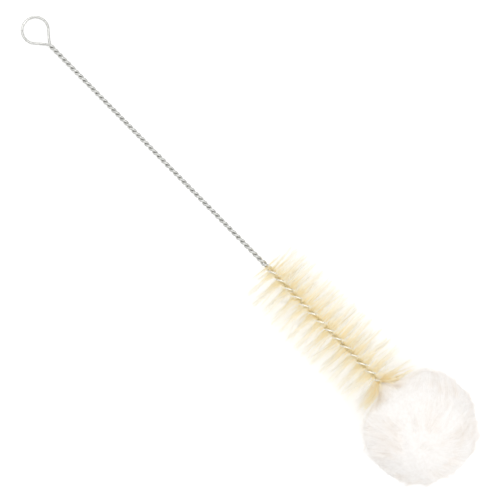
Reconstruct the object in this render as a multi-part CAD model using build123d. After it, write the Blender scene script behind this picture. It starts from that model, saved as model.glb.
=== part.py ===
from build123d import *

import os
from math import asin, ceil, cos, degrees, pi, radians, sin, sqrt, tau

# A bottle brush with a wool tip, lying on its side as it comes to rest. All sizes are in millimetres.
#
# One galvanised wire is folded into a hanging loop, and its two legs are twisted together. The twist is
# tight along the bare grip. Further on it is slower and holds bunches of natural bristle, which lie across
# the stem between the two strands, and its end holds a ball of wool.
#
# The brush is drawn along its own axis: +X from the neck of the loop towards the wool, with the loop flat
# in the XY plane. It is then laid down on its loop and its wool, with the floor at Z = 0.

# Wire
wire_d = 1.7
wire_sides = 6
strand_gap = 0.04  # between the two strands where they hold nothing
runs_per_turn = 8  # straight runs that draw one turn of the twist
stem_inset = 14.0  # the wire ends this far inside the wool's far side

# Hanging loop
eye_d = 15.5  # clear width inside the loop
neck_half_angle = radians(45)  # between each leg and the stem
loop_runs = 24

# Grip
grip_length = 202.0
grip_pitch = 7.66  # one whole turn of the twist

# Bristles
bristle_length = 101.5  # along the stem
bristle_d = 47.0  # over the tips
bristle_pitch = 14.73
bunches_per_turn = 16
bunch_waist = 0.4  # width of a bunch between the strands
bunch_belly = 3.0  # width of a bunch where it is fullest
bunch_clearance = 0.12  # on each side of the waist
waist_thickness_share = 0.68  # of the spacing from bunch to bunch along the stem
belly_thickness_share = 1.5
belly_reach_share = 0.55  # of a bunch's own reach
crown_length = 14.0  # the first bunches grow to full reach over this length
first_reach_share = 0.62

# Wool
wool_d = 76.0
wool_gap = 0.4  # from the last bunch to the wool
wool_sink = 1.9  # the wool gives this much under the brush's own weight
wool_clearance = 0.25  # round the strands
lock_depth = 2.4  # the valleys between the locks of wool
lock_columns = 28
lock_rows = 16

# Worked out from the sizes above
wire_r = wire_d / 2
bristle_r = bristle_d / 2
wool_r = wool_d / 2
loop_r = eye_d / 2 + wire_r  # to the middle of the wire
loop_x = -loop_r / sin(neck_half_angle)
chord_share = cos(pi / runs_per_turn)  # how near a straight run comes to the axis at its middle
grip_r = (wire_r + strand_gap / 2) / chord_share
hold_r = (wire_r + bunch_waist / 2 + bunch_clearance) / chord_share
bunch_count = round(bristle_length / bristle_pitch * bunches_per_turn)
bunch_spacing = bristle_length / bunch_count
wool_x = grip_length + bristle_length + wool_gap + wool_r
stem_end = wool_x + wool_r - stem_inset
bore_r = (hold_r + wire_r + wool_clearance) / cos(pi / lock_columns)

# The brush rests on the tip of its loop and on its wool
lean = asin((wool_r - wool_sink - wire_r) / (wool_x - loop_x + loop_r))
rest_height = wool_r - wool_sink - wool_x * sin(lean)


def skin(rings, folded=False):
    """The closed solid over a row of rings.

    Each ring has as many points as the next, or one point where the solid ends in a tip. A first or last
    ring of several points is closed by a flat face. Where the skin is folded, each of its four-cornered
    faces is creased along its shorter diagonal.
    """
    faces = [ring for ring in (rings[0], rings[-1]) if len(ring) > 1]
    for near, far in zip(rings, rings[1:]):
        for k in range(max(len(near), len(far))):
            a, b = near[k % len(near)], near[(k + 1) % len(near)]
            c, d = far[(k + 1) % len(far)], far[k % len(far)]
            if len(near) == 1:
                faces.append([a, c, d])
            elif len(far) == 1:
                faces.append([a, b, c])
            elif not folded:
                faces.append([a, b, c, d])
            elif (c - a).length < (d - b).length:
                faces += [[a, b, c], [a, c, d]]
            else:
                faces += [[a, b, d], [b, c, d]]
    return Solid(Shell([Face(Wire.make_polygon(points)) for points in faces]))


def turned(x, reach, angle):
    """The point that lies at this reach and angle from the stem's axis."""
    return Vector(x, reach * cos(angle), reach * sin(angle))


def twist_angle(x):
    """How far the left-hand twist has turned at x."""
    if x < grip_length:
        return -tau * x / grip_pitch
    return -tau * (grip_length / grip_pitch + (x - grip_length) / bristle_pitch)


def strand_route(start_angle):
    """One strand from the neck to the end of the stem. It opens out over the grip's last turn."""
    hold_length = stem_end - grip_length
    grip_runs = ceil(grip_length / grip_pitch * runs_per_turn)
    hold_runs = ceil(hold_length / bristle_pitch * runs_per_turn)
    stations = [grip_length * i / grip_runs for i in range(grip_runs)]
    stations += [grip_length + hold_length * i / hold_runs for i in range(hold_runs + 1)]
    route = []
    for x in stations:
        opened_share = min(max(1 - (grip_length - x) / grip_pitch, 0), 1)
        reach = grip_r + (hold_r - grip_r) * opened_share
        route.append(turned(x, reach, start_angle + twist_angle(x)))
    return route


def loop_route():
    """The hanging loop, from its leg on the +Y side round to its leg on the -Y side."""
    first = pi / 2 - neck_half_angle
    sweep_angle = tau - 2 * first
    angles = [first + sweep_angle * i / loop_runs for i in range(loop_runs + 1)]
    return [Vector(loop_x + loop_r * cos(a), loop_r * sin(a), 0) for a in angles]


def wire_stem():
    """The whole wire, carried along its route with a mitre at every bend."""
    route = strand_route(0)[::-1] + loop_route() + strand_route(pi)
    runs = [(b - a).normalized() for a, b in zip(route, route[1:])]
    mitres = [(a + b).normalized() for a, b in zip(runs, runs[1:])] + [runs[-1]]
    start = Plane(route[0], z_dir=runs[0])
    corners = [tau * k / wire_sides for k in range(wire_sides)]
    ring = [start.from_local_coords((wire_r * cos(a), wire_r * sin(a), 0)) for a in corners]
    rings = [ring]
    for place, run, mitre in zip(route[1:], runs, mitres):
        ring = [p + run * ((place - p).dot(mitre) / run.dot(mitre)) for p in ring]
        rings.append(ring)
    return skin(rings)


def bunch(x):
    """One bunch of bristle, from tip to tip through the stem. Its waist fits between the strands."""
    along_share = min((x - grip_length) / crown_length, 1)
    crown_share = first_reach_share + (1 - first_reach_share) * sqrt(1 - (1 - along_share) ** 2)
    reach = bristle_r * crown_share
    angle = twist_angle(x) + pi / 2
    out = turned(0, 1, angle)
    across = turned(0, 1, angle + pi / 2)

    def section(place, width, thickness_share):
        half = Vector(bunch_spacing * thickness_share / 2, 0, 0)
        side = across * (width / 2)
        middle = Vector(x, 0, 0) + out * place
        return [middle + side + half, middle - side + half, middle - side - half, middle + side - half]

    belly = reach * belly_reach_share
    belly_width = bunch_belly * crown_share
    return skin(
        [
            [Vector(x, 0, 0) - out * reach],
            section(-belly, belly_width, belly_thickness_share),
            section(0, bunch_waist, waist_thickness_share),
            section(belly, belly_width, belly_thickness_share),
            [Vector(x, 0, 0) + out * reach],
        ]
    )


def bristles():
    """All bunches, each turned a little further round the stem than the one before."""
    return Compound([bunch(grip_length + bunch_spacing * (i + 1 / 2)) for i in range(bunch_count)])


def wool_point(polar, column, depth):
    """A point this deep between the wool's locks, or on the floor where the ball is pressed flat."""
    up = Vector(sin(lean), 0, cos(lean))
    outer = turned(wool_x - wool_r * cos(polar), wool_r * sin(polar), column)
    height = rest_height + outer.dot(up)
    if height < 0:
        return outer - up * height
    reach = wool_r - depth
    return turned(wool_x - reach * cos(polar), reach * sin(polar), column)


def wool_head():
    """A ball of wool with pointed locks and a blind channel for the end of the stem."""
    mouth = asin(bore_r / wool_r)
    columns = [tau * j / lock_columns for j in range(lock_columns)]
    channel = [stem_end + wire_r + wool_clearance, wool_x - wool_r * cos(mouth)]
    rings = [[turned(x, bore_r, a) for a in columns] for x in channel]
    for i in range(1, lock_rows):
        polar = mouth + (pi - mouth) * i / lock_rows
        rings.append([wool_point(polar, a, lock_depth * ((i + j) % 2)) for j, a in enumerate(columns)])
    rings.append([Vector(wool_x + wool_r, 0, 0)])
    return skin(rings, folded=True)


def laid_down(pieces):
    """The pieces on the floor, with the origin on the floor below the middle of the whole brush."""
    on_floor = Location((0, 0, rest_height), (0, -degrees(lean), 0))
    placed = {name: piece.moved(on_floor) for name, piece in pieces.items()}
    middle = Compound(list(placed.values())).bounding_box().center()
    centred = Location((-middle.X, -middle.Y, 0))
    return {name: piece.moved(centred) for name, piece in placed.items()}


def main():
    os.makedirs("parts", exist_ok=True)
    pieces = {"wire_stem": wire_stem(), "bristles": bristles(), "wool_head": wool_head()}
    for name, piece in laid_down(pieces).items():
        export_step(piece, f"parts/{name}.step")


main()
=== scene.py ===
from math import asin, cos, pi, radians, sin, tau

import bpy
import numpy as np
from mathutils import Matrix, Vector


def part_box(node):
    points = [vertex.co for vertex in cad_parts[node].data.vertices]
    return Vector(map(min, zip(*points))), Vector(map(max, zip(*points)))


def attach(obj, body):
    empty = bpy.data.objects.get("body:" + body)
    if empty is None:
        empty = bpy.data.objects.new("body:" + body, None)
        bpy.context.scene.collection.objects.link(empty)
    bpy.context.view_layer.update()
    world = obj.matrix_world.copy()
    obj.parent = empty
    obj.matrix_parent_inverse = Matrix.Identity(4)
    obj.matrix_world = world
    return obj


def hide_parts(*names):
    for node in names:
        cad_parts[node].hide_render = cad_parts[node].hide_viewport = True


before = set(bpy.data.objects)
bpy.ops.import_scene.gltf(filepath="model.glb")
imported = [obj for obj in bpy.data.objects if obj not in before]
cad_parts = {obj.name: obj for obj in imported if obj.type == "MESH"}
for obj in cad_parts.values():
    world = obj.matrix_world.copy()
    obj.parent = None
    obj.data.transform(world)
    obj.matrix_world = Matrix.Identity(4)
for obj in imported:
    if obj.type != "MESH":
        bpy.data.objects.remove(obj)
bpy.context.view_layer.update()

# The looks of a bottle brush: a bright twisted wire, fine golden bristle and a shaggy ball of white wool.
# Everything is in metres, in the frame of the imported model. The brush's own axes are used to build it:
# x along the stem from the neck of the loop, y across it in the plane of the loop, z across that.

MM = 0.001

# Sizes of the construction
WIRE_R = 0.85 * MM
EYE_R = 7.75 * MM
NECK_HALF_ANGLE = radians(45)  # between each leg of the loop and the stem
GRIP_LENGTH = 202 * MM
GRIP_PITCH = 7.66 * MM  # one whole turn of the twist
GRIP_TWIST_R = 0.87 * MM  # from the stem's axis to the middle of a strand
BRISTLE_LENGTH = 101.5 * MM  # along the stem
BRISTLE_R = 23.5 * MM
BRISTLE_PITCH = 14.73 * MM
BRISTLE_TWIST_R = 1.2 * MM
CROWN_LENGTH = 14 * MM  # the first bristles grow to full reach over this length
FIRST_REACH_SHARE = 0.62
WOOL_R = 38 * MM
WOOL_GAP = 0.4 * MM  # from the last bristles to the wool
WOOL_SINK = 1.9 * MM  # the wool gives this much under the brush's own weight
STEM_INSET = 14 * MM  # the wire ends this far inside the wool's far side
FLOOR_GAP = 0.25 * MM  # hairs keep this far above the floor

# Where the brush lies, worked out as for its solids
loop_r = EYE_R + WIRE_R
loop_x = -loop_r / sin(NECK_HALF_ANGLE)
bristle_end = GRIP_LENGTH + BRISTLE_LENGTH
wool_x = bristle_end + WOOL_GAP + WOOL_R
stem_end = wool_x + WOOL_R - STEM_INSET
lean = asin((WOOL_R - WOOL_SINK - WIRE_R) / (wool_x - loop_x + loop_r))
rest_height = WOOL_R - WOOL_SINK - wool_x * sin(lean)
wire_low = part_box("wire_stem")[0]
neck_x = wire_low[0] + WIRE_R + (loop_r - loop_x) * cos(lean)
AXES = np.array([[cos(lean), 0, sin(lean)], [0, 1, 0], [-sin(lean), 0, cos(lean)]])
NECK = np.array([neck_x, 0, rest_height])
WOOL_MIDDLE = np.array([wool_x, 0, 0])


def laid_down(points):
    """Points of the brush's own axes, as it lies on the floor."""
    return NECK + points @ AXES


def on_the_floor(points, gap):
    """The points, with each one that lies lower lifted to this gap above the floor."""
    points[..., 2] = np.maximum(points[..., 2], gap)
    return points


def unit(vectors):
    """The vectors, each brought to length 1."""
    return vectors / np.linalg.norm(vectors, axis=-1, keepdims=True)


def smooth_step(share):
    """From 0 to 1 with a soft start and a soft end."""
    share = np.clip(share, 0, 1)
    return share * share * (3 - 2 * share)


def twist_angle(x):
    """How far the left-hand twist has turned at x."""
    tight = np.minimum(x, GRIP_LENGTH) / GRIP_PITCH
    slow = np.maximum(x - GRIP_LENGTH, 0) / BRISTLE_PITCH
    return -tau * (tight + slow)


def turned(x, reach, angle):
    """Points at these reaches and angles from the stem's axis."""
    return np.stack([x, reach * np.cos(angle), reach * np.sin(angle)], axis=-1)


# Meshes


def new_piece(name, points, triangles, node, material, smooth=True, marks=None, bake_map=None):
    """A mesh piece that stands for a node.

    marks are numbers on its points, by name. bake_map is where each corner lies on the map for its colours.
    """
    mesh = bpy.data.meshes.new(name)
    mesh.vertices.add(len(points))
    mesh.vertices.foreach_set("co", points.astype(np.float32).ravel())
    mesh.loops.add(triangles.size)
    mesh.loops.foreach_set("vertex_index", triangles.astype(np.int32).ravel())
    mesh.polygons.add(len(triangles))
    mesh.polygons.foreach_set("loop_start", np.arange(0, triangles.size, 3, dtype=np.int32))
    mesh.polygons.foreach_set("use_smooth", np.full(len(triangles), smooth))
    for mark_name, values in (marks or {}).items():
        layer = mesh.attributes.new(mark_name, "FLOAT", "POINT")
        layer.data.foreach_set("value", values.astype(np.float32).ravel())
    if bake_map is not None:
        layer = mesh.uv_layers.new(name="OFBake")
        layer.uv.foreach_set("vector", bake_map.astype(np.float32).ravel())
    mesh.update(calc_edges=True)
    mesh.materials.append(material)
    piece = bpy.data.objects.new(name, mesh)
    bpy.context.scene.collection.objects.link(piece)
    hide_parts(node)
    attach(piece, "root")


def closed_skin(rows, sides):
    """Triangles over rows of rings with a point at each end. The points of all rings come before the two."""
    k = np.arange(sides)
    after = (k + 1) % sides
    start = (np.arange(rows - 1) * sides)[:, None]
    a, b = start + k, start + after
    walls = np.concatenate([np.stack([a, b, b + sides], -1), np.stack([a, b + sides, a + sides], -1)])
    last = (rows - 1) * sides
    near = np.stack([after, k, np.full(sides, rows * sides)], axis=-1)
    far = np.stack([last + k, last + after, np.full(sides, rows * sides + 1)], axis=-1)
    return np.concatenate([walls.reshape(-1, 3), near, far])


STEEP = 0.8  # a direction with more of z in it than this is steep


def ring_axes(directions):
    """Two directions across each of these."""
    steep = np.abs(directions[..., 2:]) >= STEEP
    helper = np.where(steep, [[0.0, 1.0, 0.0]], [[0.0, 0.0, 1.0]])
    first = unit(np.cross(directions, helper))
    return first, np.cross(directions, first)


# Hairs

HAIR_WIDTH_ON_MAP = 0.02
MAP_MARGIN = 0.02  # left free below the roots and above the tips


def hair_sides(rings, tip_first):
    """Triangles of one three-sided hair: rings of three points, then a tip, or a tip at both ends."""
    first = 1 if tip_first else 0
    sides = []
    for k in range(3):
        after = (k + 1) % 3
        for ring in range(rings - 1):
            a, b = first + 3 * ring, first + 3 * ring + 3
            sides += [[a + k, a + after, b + after], [a + k, b + after, b + k]]
        last = first + 3 * (rings - 1)
        sides.append([last + k, last + after, first + 3 * rings])
        if tip_first:
            sides.append([first + after, first + k, 0])
    if not tip_first:
        sides.append([2, 1, 0])
    return np.array(sides)


def hairs(lines, radii, tip_first, outside=None, flatness=1):
    """Points and triangles of many hairs, from their lines (hair, station, xyz) and radii (hair, station).

    Where outside gives a direction for each hair, the hair is flattened and lies with its back that way.
    """
    count, stations = lines.shape[:2]
    direction = unit(lines[:, -1] - lines[:, 0])
    if outside is None:
        first, second = ring_axes(direction)
    else:
        second = unit(np.cross(direction, outside))
        first = np.cross(second, direction) * flatness
    inner = slice(1 if tip_first else 0, stations - 1)
    corners = []
    for k in range(3):
        across = first * cos(tau * k / 3) + second * sin(tau * k / 3)
        corners.append(lines[:, inner] + across[:, None] * radii[:, inner, None])
    ringed = np.stack(corners, axis=2).reshape(count, -1, 3)
    parts = [lines[:, :1]] if tip_first else []
    points = np.concatenate(parts + [ringed, lines[:, -1:]], axis=1)
    rings = stations - 1 - (1 if tip_first else 0)
    sides = hair_sides(rings, tip_first)
    triangles = sides[None] + (np.arange(count) * points.shape[1])[:, None, None]
    return points.reshape(-1, 3), triangles.reshape(-1, 3)


def on_stations(values, tip_first):
    """One number for each station of each hair, given to the points that hairs() makes of it."""
    stations = values.shape[1]
    inner = np.repeat(values[:, (1 if tip_first else 0) : stations - 1], 3, axis=1)
    parts = [values[:, :1]] if tip_first else []
    return np.concatenate(parts + [inner, values[:, -1:]], axis=1).ravel()


def hair_map(triangles, along, tone):
    """A map for hairs: across it by their tone, up it from root to tip."""
    u = tone[triangles] * (1 - 2 * HAIR_WIDTH_ON_MAP) + HAIR_WIDTH_ON_MAP * np.linspace(0, 1, 3)
    v = MAP_MARGIN + (1 - 2 * MAP_MARGIN) * along[triangles]
    return np.stack([u, v], axis=-1).reshape(-1, 2)


# Materials

PLAIN_ZINC = [(0.3, (0.50, 0.50, 0.48, 1)), (0.7, (0.71, 0.71, 0.69, 1))]
# painted light: lighter zinc among the bristles, the same wire coloured as if more brightly lit there
ZINC_WITH_PAINTED_LIGHT = [(0.3, (0.80, 0.80, 0.76, 1)), (0.7, (0.95, 0.95, 0.91, 1))]
ZINC_GLOSS = [(0.3, (0.20, 0.20, 0.20, 1)), (0.7, (0.32, 0.32, 0.32, 1))]
SPANGLE_SCALE = 900
SPANGLE_DETAIL = 4
SPANGLE_RELIEF = 0.05 * MM
SPANGLE_RELIEF_STRENGTH = 0.15
BRISTLE_COLOURS = [  # root to tip
    (0.0, (1.0, 0.935, 0.69, 1)),
    (0.25, (1.0, 0.945, 0.77, 1)),
    (0.6, (0.99, 0.96, 0.875, 1)),
    (1.0, (0.94, 0.93, 0.87, 1)),
]
DULLEST_BRISTLE = (0.66, 0.66, 0.66, 1)
BRISTLE_ROUGHNESS = 0.5
# painted shade: the wool is darker towards the root, for the shade deep in the fleece
WOOL_COLOURS = [  # root to tip
    (0.0, (0.94, 0.90, 0.86, 1)),
    (0.5, (0.99, 0.976, 0.962, 1)),
    (1.0, (0.997, 0.991, 0.985, 1)),
]
DULLEST_WOOL = (0.87, 0.84, 0.80, 1)
WOOL_ROUGHNESS = 0.9
WOOL_SHINE = 0.2
# painted shade: the core is coloured darker than the loose hairs, for the shade deep between the locks
FELT_COLOURS = [(0.3, (0.86, 0.83, 0.80, 1)), (0.7, (0.92, 0.90, 0.88, 1))]
FELT_SCALE = 500
FELT_DETAIL = 5
FELT_SHINE = 0.1
WHITE = (1, 1, 1, 1)


def new_material(name):
    material = bpy.data.materials.new(name)
    material.use_nodes = True
    nodes = material.node_tree.nodes
    return material, nodes, material.node_tree.links, nodes["Principled BSDF"]


def ramp(nodes, stops):
    """A node that turns a number into a colour between these stops."""
    node = nodes.new("ShaderNodeValToRGB")
    node.color_ramp.elements[0].position, node.color_ramp.elements[0].color = stops[0]
    node.color_ramp.elements[1].position, node.color_ramp.elements[1].color = stops[-1]
    for position, colour in stops[1:-1]:
        node.color_ramp.elements.new(position).color = colour
    return node


def mark(nodes, name):
    """A node that reads the numbers of this name from the mesh."""
    node = nodes.new("ShaderNodeAttribute")
    node.attribute_name = name
    return node


def mottle(nodes, links, scale, detail):
    """Noise that stays in place on the object."""
    place = nodes.new("ShaderNodeTexCoord")
    noise = nodes.new("ShaderNodeTexNoise")
    noise.inputs["Scale"].default_value = scale
    noise.inputs["Detail"].default_value = detail
    links.new(place.outputs["Object"], noise.inputs["Vector"])
    return noise.outputs["Fac"]


def galvanised_wire():
    """Bright zinc: mottled in brightness and gloss, faintly uneven, and with painted light among the
    bristles, where it is coloured lighter than on the grip and loop.
    """
    material, nodes, links, shader = new_material("galvanised_wire")
    spangle = mottle(nodes, links, SPANGLE_SCALE, SPANGLE_DETAIL)
    plain_zinc = ramp(nodes, PLAIN_ZINC)
    lit_zinc = ramp(nodes, ZINC_WITH_PAINTED_LIGHT)
    gloss = ramp(nodes, ZINC_GLOSS)
    colour = nodes.new("ShaderNodeMix")
    colour.data_type = "RGBA"
    links.new(spangle, plain_zinc.inputs["Fac"])
    links.new(spangle, lit_zinc.inputs["Fac"])
    links.new(spangle, gloss.inputs["Fac"])
    links.new(mark(nodes, "among_bristles").outputs["Fac"], colour.inputs["Factor"])
    links.new(plain_zinc.outputs["Color"], colour.inputs["A"])
    links.new(lit_zinc.outputs["Color"], colour.inputs["B"])
    links.new(colour.outputs["Result"], shader.inputs["Base Color"])
    links.new(gloss.outputs["Color"], shader.inputs["Roughness"])
    bump = nodes.new("ShaderNodeBump")
    bump.inputs["Strength"].default_value = SPANGLE_RELIEF_STRENGTH
    bump.inputs["Distance"].default_value = SPANGLE_RELIEF
    links.new(spangle, bump.inputs["Height"])
    links.new(bump.outputs["Normal"], shader.inputs["Normal"])
    shader.inputs["Metallic"].default_value = 1
    return material


def hair_material(name, stops, dullest):
    """A colour that changes from root to tip and is duller on some hairs, by up to this much."""
    material, nodes, links, shader = new_material(name)
    colour = ramp(nodes, stops)
    links.new(mark(nodes, "along").outputs["Fac"], colour.inputs["Fac"])
    tone = ramp(nodes, [(0, dullest), (1, WHITE)])
    links.new(mark(nodes, "tone").outputs["Fac"], tone.inputs["Fac"])
    toned = nodes.new("ShaderNodeMix")
    toned.data_type = "RGBA"
    toned.blend_type = "MULTIPLY"
    toned.inputs["Factor"].default_value = 1
    links.new(colour.outputs["Color"], toned.inputs["A"])
    links.new(tone.outputs["Color"], toned.inputs["B"])
    links.new(toned.outputs["Result"], shader.inputs["Base Color"])
    return material, shader


def natural_bristle():
    """Golden at the stem, cream further out and nearly white at the tips."""
    material, shader = hair_material("natural_bristle", BRISTLE_COLOURS, DULLEST_BRISTLE)
    shader.inputs["Roughness"].default_value = BRISTLE_ROUGHNESS
    return material


def white_wool():
    """Warm white, with painted shade: greyer towards the roots, deep between the locks."""
    material, shader = hair_material("white_wool", WOOL_COLOURS, DULLEST_WOOL)
    shader.inputs["Roughness"].default_value = WOOL_ROUGHNESS
    shader.inputs["Specular IOR Level"].default_value = WOOL_SHINE
    return material


def wool_felt():
    """The matted inside of the ball, mottled, and darker than the loose hairs as painted shade deep in the
    fleece.
    """
    material, nodes, links, shader = new_material("wool_felt")
    colour = ramp(nodes, FELT_COLOURS)
    links.new(mottle(nodes, links, FELT_SCALE, FELT_DETAIL), colour.inputs["Fac"])
    links.new(colour.outputs["Color"], shader.inputs["Base Color"])
    shader.inputs["Roughness"].default_value = 1
    shader.inputs["Specular IOR Level"].default_value = FELT_SHINE
    return material


# The wire

WIRE_SIDES = 14
STATIONS_PER_TURN = 26
LOOP_STATIONS = 90
LEG_STATIONS = 20
NECK_BEND = 2.5 * MM  # the bend from leg to twist is eased over this length
NECK_PASSES = 40


def strand_route(start_angle):
    """One strand from the neck to the end of the stem. It opens out over the grip's last turn."""
    turns = (GRIP_LENGTH / GRIP_PITCH, (stem_end - GRIP_LENGTH) / BRISTLE_PITCH)
    grip = np.linspace(0, GRIP_LENGTH, int(turns[0] * STATIONS_PER_TURN), endpoint=False)
    held = np.linspace(GRIP_LENGTH, stem_end, int(turns[1] * STATIONS_PER_TURN))
    x = np.concatenate([grip, held])
    opened = smooth_step(1 - (GRIP_LENGTH - x) / GRIP_PITCH)
    reach = GRIP_TWIST_R + (BRISTLE_TWIST_R - GRIP_TWIST_R) * opened
    return turned(x, reach, start_angle + twist_angle(x))


def loop_route():
    """From the end of the leg on the +Y side, round the eye, to that of the leg on the -Y side."""
    first = pi / 2 - NECK_HALF_ANGLE
    angles = np.linspace(first, tau - first, LOOP_STATIONS)
    eye = np.stack([loop_x + loop_r * np.cos(angles), loop_r * np.sin(angles), 0 * angles], axis=-1)
    share = np.linspace(0, 1, LEG_STATIONS, endpoint=False)[1:, None]
    leg_in = np.array([[0, GRIP_TWIST_R, 0]]) * (1 - share) + eye[:1] * share
    leg_out = eye[-1:] * (1 - share) + np.array([[0, -GRIP_TWIST_R, 0]]) * share
    return np.concatenate([leg_in, eye, leg_out])


def eased(route):
    """The route with its two sharp bends at the neck rounded off."""
    for _ in range(NECK_PASSES):
        middle = (route[:-2] + 2 * route[1:-1] + route[2:]) / 4
        amount = 1 - smooth_step(np.abs(route[1:-1, :1]) / NECK_BEND)
        route = np.concatenate([route[:1], route[1:-1] + (middle - route[1:-1]) * amount, route[-1:]])
    return route


def tube(route, radius, sides):
    """A round tube with closed ends along the route, without twist."""
    runs = unit(np.diff(route, axis=0))
    along = unit(np.concatenate([runs[:1], runs[:-1] + runs[1:], runs[-1:]]))
    across = ring_axes(along[:1])[0][0]
    angles = np.linspace(0, tau, sides, endpoint=False)[:, None]
    rings = []
    for place, direction in zip(route, along):
        across = unit(across - direction * (across @ direction))
        other = np.cross(direction, across)
        rings.append(place + radius * (across * np.cos(angles) + other * np.sin(angles)))
    points = np.concatenate(rings + [route[:1], route[-1:]])
    return points, closed_skin(len(route), sides)


def make_wire():
    """The whole wire: one strand, the loop and the other strand."""
    route = eased(np.concatenate([strand_route(0)[::-1], loop_route(), strand_route(pi)]))
    points, triangles = tube(route, WIRE_R, WIRE_SIDES)
    # painted light: the wire is coloured lighter among the bristles than on the grip and loop
    among_bristles = smooth_step((points[:, 0] - GRIP_LENGTH) / GRIP_PITCH)
    new_piece(
        "twisted_wire",
        laid_down(points),
        triangles,
        "wire_stem",
        galvanised_wire(),
        marks={"among_bristles": among_bristles},
    )


# The form of the wool. Reaches and depths without a unit are shares of the ball's radius.

WOOL_FULLNESS = 1.01
WOOL_LUMPS = 0.01
WOOL_SIDEWAYS = -2.2 * MM  # the fleece lies a little to one side of the stem
WHORL = unit(np.array([0.30, -0.29, 0.91]))  # where the fleece parts, on the upper side
PARTINGS = 18  # other places where the fleece falls apart
PARTINGS_TURN = np.array([[0.6, 0, 0.8], [0, 1, 0], [-0.8, 0, 0.6]])  # sets them askew to the stem
PARTING_SIZE = radians(11)
PARTING_DEPTH = 0.008
DIMPLE_DEPTH = 0.18  # the wool gives way to the last bristles on both sides of the stem
DIMPLE_ANGLE = radians(50)
RIDGE_DEPTH = 0.03  # between the two dimples it comes up to the stem
RIDGE_WIDTH = 0.22
PATCH_PEAK = 1.4  # about the most that the waves of the patches come to


def even_directions(count):
    """Directions spread evenly over a ball."""
    k = np.arange(count) + 0.5
    polar = np.arccos(1 - 2 * k / count)
    turn = pi * (1 + 5**0.5) * k
    return np.stack([np.cos(polar), np.sin(polar) * np.cos(turn), np.sin(polar) * np.sin(turn)], axis=-1)


partings = np.concatenate([unit(even_directions(PARTINGS) @ PARTINGS_TURN), [WHORL]])


def at_partings(direction):
    """How near each direction is to each parting, from 0 to 1."""
    angle = np.arccos(np.clip(direction @ partings.T, -1, 1))
    return np.exp(-((angle / PARTING_SIZE) ** 2))


def wave(direction, course, start):
    """A wave over the ball, from -1 to 1. It runs along its course, and is finer the longer that is."""
    return np.sin(direction @ course + start)


def patches(direction):
    """Soft patches, each some locks wide, from about -1 to 1."""
    first = wave(direction, [13.0, 6.0, -5.0], 1.3) * wave(direction, [-4.0, 14.0, 7.0], 0.2)
    second = wave(direction, [6.0, -9.0, 12.0], 3.1) * wave(direction, [10.0, 8.0, 9.0], 5.0)
    return (first + second) / PATCH_PEAK


def wool_reach(direction):
    """How far the fleece reaches this way: a ball with soft lumps, partings and two dimples at the stem."""
    lumps = wave(direction, [5.0, 3.0, 1.0], 0.5) + wave(direction, [-2.0, 6.0, 3.5], 2.1)
    lumps = lumps + wave(direction, [3.0, -4.0, 7.0], 4.0) + patches(direction)
    near_stem = smooth_step((-direction[..., 0] - cos(DIMPLE_ANGLE)) / (1 - cos(DIMPLE_ANGLE)))
    beside = smooth_step(np.abs(direction[..., 1]) / RIDGE_WIDTH)
    dimple = near_stem * (DIMPLE_DEPTH * beside + RIDGE_DEPTH * (1 - beside))
    parted = PARTING_DEPTH * at_partings(direction).sum(axis=-1)
    share = WOOL_FULLNESS + WOOL_LUMPS * lumps - dimple - parted
    return WOOL_R * share + direction[..., 1] * WOOL_SIDEWAYS


# The bristles. A pair of spreads is that from bundle to bundle and that from hair to hair.

BRISTLE_SEED = 7
BUNDLES = 390
BUNDLE_HAIRS = 8
BRISTLE_HAIR_R = 0.078 * MM
BRISTLE_THICKNESS = (0.75, 1.2)  # from the thinnest hair to the thickest
BRISTLE_SHARES = np.array([-1, -0.95, -0.5, 0, 0.5, 0.95, 1])  # stations, tip to tip
BRISTLE_TAPER = np.array([0, 0.95, 1.05, 0.6, 1.05, 0.95, 0])  # pinched by the wire
BRISTLE_FULLNESS = 1.05  # of the bristles' radius
REACH_SPREADS = (0.035, 0.04)
TILT_SPREADS = (radians(3.2), radians(1.1))  # along the stem
TURN_SPREADS = (radians(6.5), radians(1.5))  # round it
BEND_ALONG_SPREADS = (0.05, 0.015)
BEND_ROUND_SPREADS = (0.06, 0.015)
WOOL_DENT = (-1.8 * MM, 0.6 * MM)  # how deep bristles press into the wool
DARK_SHARE = 0.03  # of the hairs
DARK_TONES = (0, 0.6)
FLUFF_SHARE = 0.3  # of the hairs are short, stand out every way and fill in round the stem
FLUFF_REACH = (0.2, 0.5)
FLUFF_TURN = radians(28)
HUG_LENGTH = 4 * MM  # the last bristles are pressed forward over the wool
HUG_LEAN = radians(16)

# Past the last bristles, shorter ones are fanned forward onto the wool on both sides of the stem
COLLAR_BUNCHES = 46
COLLAR_BUNCH_HAIRS = 8
COLLAR_COLOUR_SHARE = 0.3  # of a bristle's colours from root to tip
COLLAR_PLACE = (1 * MM, 4 * MM)
COLLAR_REACH = (9 * MM, 25 * MM)
COLLAR_HAIR_REACH = (0.8, 1)
COLLAR_LEAN = (radians(4), radians(66))
COLLAR_LEAN_SPREAD = 0.03
COLLAR_TURN_SPREADS = (0.12, 0.06)
COLLAR_GAP = radians(12)  # left free above and below the stem, where the wool comes up to it
COLLAR_DENT = (-4 * MM, -0.4 * MM)  # at the tips, which lie on top of the wool


def crown_share(x):
    """How much of its full reach a bristle has at x."""
    along = np.clip((x - GRIP_LENGTH) / CROWN_LENGTH, 0, 1)
    return FIRST_REACH_SHARE + (1 - FIRST_REACH_SHARE) * np.sqrt(1 - (1 - along) ** 2)


def in_front_of_wool(lines, dent):
    """Hairs pushed out to the face of the wool, less the dent, where they would run into it."""
    from_middle = lines - WOOL_MIDDLE
    distance = np.linalg.norm(from_middle, axis=-1, keepdims=True)
    way = from_middle / distance
    face = wool_reach(way)[..., None] - dent[..., None]
    return lines + way * np.maximum(face - distance, 0)


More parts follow.
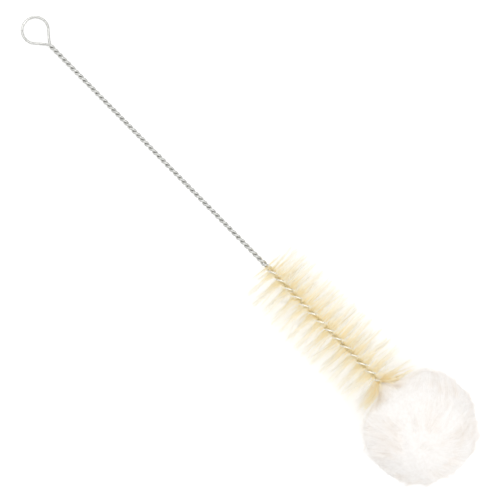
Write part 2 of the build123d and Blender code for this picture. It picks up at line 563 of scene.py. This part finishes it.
def bristle_lines(rng):
    """Hairs from tip to tip through the stem, in small bundles that wind round it with the twist."""
    count = BUNDLES * BUNDLE_HAIRS

    def scatter(bundle_spread, hair_spread):
        of_bundle = np.repeat(rng.normal(0, bundle_spread, BUNDLES), BUNDLE_HAIRS)
        return of_bundle + rng.normal(0, hair_spread, count)

    place = np.repeat(np.arange(BUNDLES), BUNDLE_HAIRS) + rng.uniform(0, 1, count)
    x = GRIP_LENGTH + BRISTLE_LENGTH * place / BUNDLES
    angle = twist_angle(x) + pi / 2
    gap = BRISTLE_TWIST_R - WIRE_R
    root = turned(x, rng.uniform(-gap, gap, count), angle + pi / 2)
    lines = np.repeat(root[:, None], len(BRISTLE_SHARES), axis=1)
    side = turned(0 * x, np.ones(count), angle + pi / 2)
    hug = smooth_step(1 - (bristle_end - x) / HUG_LENGTH) * HUG_LEAN
    short = rng.uniform(0, 1, count) < FLUFF_SHARE
    length_share = np.where(short, rng.uniform(*FLUFF_REACH, count), 1)
    for half in (-1, 1):
        tilt = scatter(*TILT_SPREADS) + hug
        turn = scatter(*TURN_SPREADS) + short * rng.normal(0, FLUFF_TURN, count)
        reach = BRISTLE_R * crown_share(x) * length_share * (BRISTLE_FULLNESS + scatter(*REACH_SPREADS))
        bend_along = scatter(*BEND_ALONG_SPREADS)
        bend_round = scatter(*BEND_ROUND_SPREADS)
        out = half * turned(0 * x, np.cos(tilt), angle + turn)
        out[:, 0] = np.sin(tilt)
        for station, share in enumerate(BRISTLE_SHARES):
            if share * half > 0:
                far = abs(share) * reach
                curl = share**2 * reach
                lines[:, station] += out * far[:, None] + side * (curl * bend_round)[:, None]
                lines[:, station, 0] += curl * bend_along
    dent = rng.uniform(*WOOL_DENT, count)
    return in_front_of_wool(lines, dent[:, None]), length_share


def collar_lines(rng):
    """Short bunches of hair from the end of the stem, fanned forward onto the wool."""
    bunch = np.repeat(np.arange(COLLAR_BUNCHES), COLLAR_BUNCH_HAIRS)
    count = len(bunch)
    bunch_turn_spread, hair_turn_spread = COLLAR_TURN_SPREADS
    x = bristle_end + rng.uniform(*COLLAR_PLACE, COLLAR_BUNCHES)[bunch]
    fan = (rng.permutation(COLLAR_BUNCHES) + 0.5) / COLLAR_BUNCHES - 0.5
    angle = ((pi - 2 * COLLAR_GAP) * fan)[bunch]
    lines = np.repeat(turned(x, 0 * x, angle)[:, None], len(BRISTLE_SHARES), axis=1)
    for half in (-1, 1):
        reach = rng.uniform(*COLLAR_REACH, COLLAR_BUNCHES)[bunch] * rng.uniform(*COLLAR_HAIR_REACH, count)
        tilt = rng.uniform(*COLLAR_LEAN, COLLAR_BUNCHES)[bunch] + rng.normal(0, COLLAR_LEAN_SPREAD, count)
        turn = rng.normal(0, bunch_turn_spread, COLLAR_BUNCHES)[bunch]
        turn = turn + rng.normal(0, hair_turn_spread, count)
        out = half * turned(0 * x, np.cos(tilt), angle + turn)
        out[:, 0] = np.sin(tilt)
        for station, share in enumerate(BRISTLE_SHARES):
            if share * half > 0:
                lines[:, station] += out * (abs(share) * reach)[:, None]
    dent = rng.uniform(*COLLAR_DENT, COLLAR_BUNCHES)[bunch]
    return in_front_of_wool(lines, dent[:, None] * np.abs(BRISTLE_SHARES))


def make_bristles():
    """All bristles, round the stem and on the wool. A few are darker."""
    rng = np.random.default_rng(BRISTLE_SEED)
    round_stem, length_share = bristle_lines(rng)
    on_wool = collar_lines(rng)
    lines = on_the_floor(laid_down(np.concatenate([round_stem, on_wool])), FLOOR_GAP)
    count = len(lines)
    radii = BRISTLE_HAIR_R * BRISTLE_TAPER[None] * rng.uniform(*BRISTLE_THICKNESS, count)[:, None]
    points, triangles = hairs(lines, radii, tip_first=True)
    length_share = np.concatenate([length_share, np.full(len(on_wool), COLLAR_COLOUR_SHARE)])
    along = on_stations(np.abs(BRISTLE_SHARES)[None] * length_share[:, None], tip_first=True)
    tones = np.where(rng.uniform(0, 1, count) < DARK_SHARE, rng.uniform(*DARK_TONES, count), 1)
    tone = on_stations(np.repeat(tones[:, None], lines.shape[1], axis=1), tip_first=True)
    new_piece(
        "bristle_hair",
        points,
        triangles,
        "bristles",
        natural_bristle(),
        smooth=False,
        marks={"along": along, "tone": tone},
        bake_map=hair_map(triangles, along, tone),
    )


# The fleece. Small strands of wool form locks, and the locks hang together in tufts. Stray hairs stand out of
# both. Reaches, rises and spreads without a unit are shares of the ball's radius.

WOOL_SEED = 11
FLEECE_PIECES = 4
WOOL_HAIR_R = 0.09 * MM
STRAY_HAIR_R = 0.08 * MM
WOOL_THICKNESS = (0.7, 1.2)  # from the thinnest strand to the thickest
WOOL_FLATNESS = 0.35  # strands lie flat
WOOL_SHARES = np.array([0, 0.38, 0.74, 1])  # stations, root to tip
WOOL_TAPER = np.array([1, 0.9, 0.6, 0.2])
WOOL_ROOT_SHARE = 0.88  # of the fleece's reach, where the strands leave the felted core
KNEE_TURN_SHARE = 0.25  # of the way from the root's direction to the tip's
KNEE_REACH_SHARE = 0.65  # of the way from the root's reach to the tip's

# How the fleece is combed: away from the whorl and from each parting
COMB_ANGLE = radians(26)  # how far round the ball a lock is combed
COMB_DISORDER = 0.25
WHORL_SIZE = radians(12)
FAR_SIDE_START = 0.375  # of the way from the whorl to the point opposite
FAR_SIDE_RISE = 0.6  # there the locks stand up again by this share
PARTING_PULL = 1.6
SWIRL = 0.25
TINY = 1e-6  # keeps every way over the ball from having no length

TUFTS = 190
TUFT_SIZE = radians(8)  # from the middle of a tuft to its edge
TUFT_SCATTER = 0.04
TUFT_GATHER = 0.5  # how far the locks of a tuft draw together at their tips
TUFT_HOLD = 0.65  # share that the tuft has in the direction of its locks
TUFT_RISE = 0.055  # from the edge of a tuft to its middle
TUFT_SPREAD = 0.03  # from tuft to tuft
TUFT_SHADE = 0.3  # painted shade: how much darker a tuft's locks are at its edge, in the valleys between tufts

LOCKS = 2000
LOCK_HAIRS = 12
LOCK_SCATTER = 0.01
LOCK_SPREAD = 0.015  # of the reach, from lock to lock
LOCK_ROOT_SPREAD = 0.035
LOCK_TIP_SHARE = (0.1, 0.38)  # of the spread at the root that is left at the tip
LOCK_TIP_SCATTER = 0.008
LOCK_SHORTFALL = 0.02  # of the reach, from hair to hair
LOCK_CRIMP = 0.12 * MM
LOCK_TONE_SPREAD = 0.3
HAIR_TONE_SPREAD = 0.1
PATCH_TONE = 0.15
SPIKE_SHARE = 0.13  # of the locks stick out of their tufts
SPIKE_LENGTH = 0.055

STRAY_HAIRS = 4500
STRAY_COMB_ANGLE = 0.6 * COMB_ANGLE
STRAY_DISORDER = 0.5
STRAY_REACH = 0.965
STRAY_SPREAD = 0.03
STRAY_LIMIT = 0.07
STRAY_CRIMP = 0.3 * MM
STRAY_TONE = 0.9


def away_from(direction, centre):
    """The way over the ball from this centre, at each direction."""
    return unit(direction * (direction @ centre)[:, None] - centre + TINY)


def combed(direction, amount, rng, disorder):
    """Where the tip of a hair with its root this way points."""
    from_whorl = np.arccos(np.clip(direction @ WHORL, -1, 1))
    flow = away_from(direction, WHORL)
    for centre, near in zip(partings[:-1], at_partings(direction).T):
        flow = flow + near[:, None] * PARTING_PULL * away_from(direction, centre)
    swirl = np.stack(
        [
            wave(direction, [4.0, 7.0, 2.0], 0),
            wave(direction, [6.0, -3.0, 5.0], 1.0),
            wave(direction, [-5.0, 2.0, 6.0], 2.0),
        ],
        axis=-1,
    )
    far_side = smooth_step((from_whorl / pi - FAR_SIDE_START) / (1 - FAR_SIDE_START))
    lying = smooth_step(from_whorl / WHORL_SIZE) * (1 - FAR_SIDE_RISE * far_side)
    sideways = flow * lying[:, None] + SWIRL * swirl + rng.normal(0, disorder, direction.shape)
    sideways = sideways - direction * np.sum(sideways * direction, axis=1)[:, None]
    return unit(direction + sideways * np.tan(amount))


def wool_lines(start, end, reach, crimp, rng):
    """Hairs that leave the core straight and then bend over."""
    root_reach = wool_reach(start) * WOOL_ROOT_SHARE
    knee_reach = (1 - KNEE_REACH_SHARE) * root_reach + KNEE_REACH_SHARE * reach
    root = start * root_reach[:, None]
    knee = unit(start * (1 - KNEE_TURN_SHARE) + end * KNEE_TURN_SHARE) * knee_reach[:, None]
    tip = end * reach[:, None]
    share = WOOL_SHARES[None, :, None]
    lines = root[:, None] * (1 - share) ** 2
    lines = lines + knee[:, None] * 2 * share * (1 - share)
    lines = lines + tip[:, None] * share**2
    lines[:, 1:] += rng.normal(0, crimp, (len(start), len(WOOL_SHARES) - 1, 3))
    return lines


def make_fleece():
    """The loose wool round the core."""
    rng = np.random.default_rng(WOOL_SEED)

    # Tufts, and the locks that belong to each
    middle = unit(even_directions(TUFTS) + rng.normal(0, TUFT_SCATTER, (TUFTS, 3)))
    tuft_tip = combed(middle, COMB_ANGLE, rng, COMB_DISORDER)
    lock = unit(even_directions(LOCKS) + rng.normal(0, LOCK_SCATTER, (LOCKS, 3)))
    nearness = lock @ middle.T
    tuft = nearness.argmax(axis=1)
    edge = np.clip(np.arccos(nearness.max(axis=1)) / TUFT_SIZE, 0, 1) ** 2
    gathered = tuft_tip[tuft] + (lock - middle[tuft]) * (1 - TUFT_GATHER)
    on_its_own = combed(lock, COMB_ANGLE, rng, COMB_DISORDER)
    lock_tip = unit((1 - TUFT_HOLD) * on_its_own + TUFT_HOLD * gathered)
    tuft_reach = rng.normal(0, TUFT_SPREAD, TUFTS)
    lock_reach = 1 + tuft_reach[tuft] - TUFT_RISE * edge + rng.normal(0, LOCK_SPREAD, LOCKS)
    lock_reach += np.where(rng.uniform(0, 1, LOCKS) < SPIKE_SHARE, SPIKE_LENGTH, 0)

    # The hairs of each lock
    owner = np.repeat(np.arange(LOCKS), LOCK_HAIRS)
    count = len(owner)
    start = unit(lock[owner] + rng.normal(0, LOCK_ROOT_SPREAD, (count, 3)))
    spread = (start - lock[owner]) * rng.uniform(*LOCK_TIP_SHARE, count)[:, None]
    end = unit(lock_tip[owner] + spread + rng.normal(0, LOCK_TIP_SCATTER, (count, 3)))
    shortfall = np.abs(rng.normal(0, LOCK_SHORTFALL, count))
    reach = wool_reach(end) * lock_reach[owner] * (1 - shortfall)
    lying = wool_lines(start, end, reach, LOCK_CRIMP, rng)

    # Stray hairs, which rise a little above the tuft they stand in
    stray_start = unit(rng.normal(0, 1, (STRAY_HAIRS, 3)))
    stray_end = combed(stray_start, STRAY_COMB_ANGLE, rng, STRAY_DISORDER)
    stray_tuft = (stray_start @ middle.T).argmax(axis=1)
    stray_rise = np.minimum(np.abs(rng.normal(0, STRAY_SPREAD, STRAY_HAIRS)), STRAY_LIMIT)
    stray_reach = wool_reach(stray_end) * (STRAY_REACH + tuft_reach[stray_tuft] + stray_rise)
    stray = wool_lines(stray_start, stray_end, stray_reach, STRAY_CRIMP, rng)

    lines = np.concatenate([lying, stray]) + WOOL_MIDDLE
    lines = on_the_floor(laid_down(lines), FLOOR_GAP)
    radii = np.repeat([WOOL_HAIR_R, STRAY_HAIR_R], [count, STRAY_HAIRS])
    radii = radii * rng.uniform(*WOOL_THICKNESS, len(lines))
    radii = radii[:, None] * WOOL_TAPER[None]
    # painted shade: locks are darker at the edges of their tufts, in the valleys between tufts. The patch
    # tone follows the same patches that raise the fleece, so it is lighter where the fleece bulges.
    lock_tone = 1 + PATCH_TONE * patches(lock) - TUFT_SHADE * edge + rng.normal(0, LOCK_TONE_SPREAD, LOCKS)
    tones = np.concatenate([lock_tone[owner], np.full(STRAY_HAIRS, STRAY_TONE)])
    tones = np.clip(tones + rng.normal(0, HAIR_TONE_SPREAD, len(lines)), 0, 1)

    # One piece for each sector round the stem. A lock stays whole.
    starts = np.concatenate([lock[owner], stray_start])
    ends = np.concatenate([end, stray_end]) @ AXES
    round_stem = np.arctan2(starts[:, 2], starts[:, 1]) / tau + 0.5
    sector = np.minimum(np.floor(round_stem * FLEECE_PIECES).astype(int), FLEECE_PIECES - 1)
    material = white_wool()
    for k in range(FLEECE_PIECES):
        mine = sector == k
        points, triangles = hairs(
            lines[mine],
            radii[mine],
            tip_first=False,
            outside=ends[mine],
            flatness=WOOL_FLATNESS,
        )
        along = on_stations(np.repeat(WOOL_SHARES[None], mine.sum(), axis=0), tip_first=False)
        tone = on_stations(np.repeat(tones[mine][:, None], lines.shape[1], axis=1), tip_first=False)
        new_piece(
            f"wool_fleece_{k + 1}",
            points,
            triangles,
            "wool_head",
            material,
            smooth=False,
            marks={"along": along, "tone": tone},
            bake_map=hair_map(triangles, along, tone),
        )


# The felted core of the wool

CORE_SHARE = 0.92  # of the fleece's reach
CORE_ROWS = 58
CORE_COLUMNS = 90
CORE_RIPPLE = 0.5 * MM


def make_core():
    """The felted middle of the ball, which shows between the locks."""
    polar = np.linspace(0, pi, CORE_ROWS + 2)[1:-1]
    turn = np.linspace(0, tau, CORE_COLUMNS, endpoint=False)
    p, t = np.meshgrid(polar, turn, indexing="ij")
    direction = np.stack([-np.cos(p), np.sin(p) * np.cos(t), np.sin(p) * np.sin(t)], axis=-1).reshape(-1, 3)
    direction = np.concatenate([direction, [[-1.0, 0, 0], [1.0, 0, 0]]])
    ripple = CORE_RIPPLE * wave(direction, [31.0, 17.0, 5.0], 0) * wave(direction, [-9.0, 27.0, 23.0], 0)
    points = direction * (wool_reach(direction) * CORE_SHARE + ripple)[:, None]
    points = on_the_floor(laid_down(points + WOOL_MIDDLE), 2 * FLOOR_GAP)
    triangles = closed_skin(CORE_ROWS, CORE_COLUMNS)
    new_piece("wool_core", points, triangles, "wool_head", wool_felt())


# The studio

FLOOR_SIDE = 6.0
FLOOR_COLOUR = (0.88, 0.88, 0.88, 1)
FLOOR_OWN_LIGHT = 0.25  # seen by the camera and in reflections only

# The sky is bright in the plane that stands on the stem, and dimmer to its two sides
SKY = [(0.3, (1.16, 1.16, 1.16, 1)), (0.7, (0.74, 0.74, 0.74, 1))]

# A long narrow lamp hangs along the stem
LAMP_LENGTH = 2.6
LAMP_WIDTH = 0.35
LAMP_POWER = 5.4
LAMP_PLACE = (-0.1, 0.2, 1.5)
LAMP_TILT = -0.13

# Pale hairs pass light on to each other many times
BOUNCES = 48


def camera_like_rays(nodes, links):
    """1 for a ray that the viewer, a mirror or a glass sends out, and 0 for light on its way."""
    path = nodes.new("ShaderNodeLightPath")
    most = path.outputs["Is Camera Ray"]
    for name in ("Is Glossy Ray", "Is Transmission Ray"):
        either = nodes.new("ShaderNodeMath")
        either.operation = "MAXIMUM"
        links.new(most, either.inputs[0])
        links.new(path.outputs[name], either.inputs[1])
        most = either.outputs["Value"]
    return most


def make_floor():
    half = FLOOR_SIDE / 2
    mesh = bpy.data.meshes.new("floor")
    corners = [(-half, -half, 0), (half, -half, 0), (half, half, 0), (-half, half, 0)]
    mesh.from_pydata(corners, [], [(0, 1, 2, 3)])
    material, nodes, links, shader = new_material("floor")
    shader.inputs["Base Color"].default_value = FLOOR_COLOUR
    shader.inputs["Roughness"].default_value = 1
    shader.inputs["Specular IOR Level"].default_value = 0
    shader.inputs["Emission Color"].default_value = WHITE
    glow = nodes.new("ShaderNodeMath")
    glow.operation = "MULTIPLY"
    glow.inputs[1].default_value = FLOOR_OWN_LIGHT
    links.new(camera_like_rays(nodes, links), glow.inputs[0])
    links.new(glow.outputs["Value"], shader.inputs["Emission Strength"])
    mesh.materials.append(material)
    floor = bpy.data.objects.new("floor", mesh)
    bpy.context.scene.collection.objects.link(floor)


def make_light():
    world = bpy.data.worlds.new("studio")
    bpy.context.scene.world = world
    world.use_nodes = True
    nodes, links = world.node_tree.nodes, world.node_tree.links
    sky = nodes["Background"]
    place = nodes.new("ShaderNodeTexCoord")
    parts = nodes.new("ShaderNodeSeparateXYZ")
    links.new(place.outputs["Generated"], parts.inputs["Vector"])
    sideways = nodes.new("ShaderNodeMath")
    sideways.operation = "ABSOLUTE"
    links.new(parts.outputs["Y"], sideways.inputs[0])
    shade = ramp(nodes, SKY)
    links.new(sideways.outputs["Value"], shade.inputs["Fac"])
    links.new(shade.outputs["Color"], sky.inputs["Color"])
    sky.inputs["Strength"].default_value = 1
    lamp = bpy.data.lights.new("softbox", "AREA")
    lamp.shape = "RECTANGLE"
    lamp.size = LAMP_LENGTH
    lamp.size_y = LAMP_WIDTH
    lamp.energy = LAMP_POWER
    softbox = bpy.data.objects.new("softbox", lamp)
    softbox.location = LAMP_PLACE
    softbox.rotation_euler = (LAMP_TILT, 0, 0)
    bpy.context.scene.collection.objects.link(softbox)
    bpy.context.scene.cycles.max_bounces = BOUNCES
    bpy.context.scene.cycles.diffuse_bounces = BOUNCES


# The view is straight down, with the brush across the frame from corner to corner
CAMERA_HEIGHT = 1.3
CAMERA_AIM = (8.9 * MM, -0.3 * MM)
CAMERA_TURN = radians(45.57)
CAMERA_LENS = 144.2
CAMERA_NEAR = 0.05


def make_camera():
    camera = bpy.data.cameras.new("camera")
    camera.lens = CAMERA_LENS
    camera.clip_start = CAMERA_NEAR
    view = bpy.data.objects.new("camera", camera)
    view.location = (*CAMERA_AIM, CAMERA_HEIGHT)
    view.rotation_euler = (0, 0, CAMERA_TURN)
    bpy.context.scene.collection.objects.link(view)
    bpy.context.scene.camera = view


make_wire()
make_bristles()
make_core()
make_fleece()
make_floor()
make_light()
make_camera()
bpy.context.scene.view_settings.view_transform = "Standard"
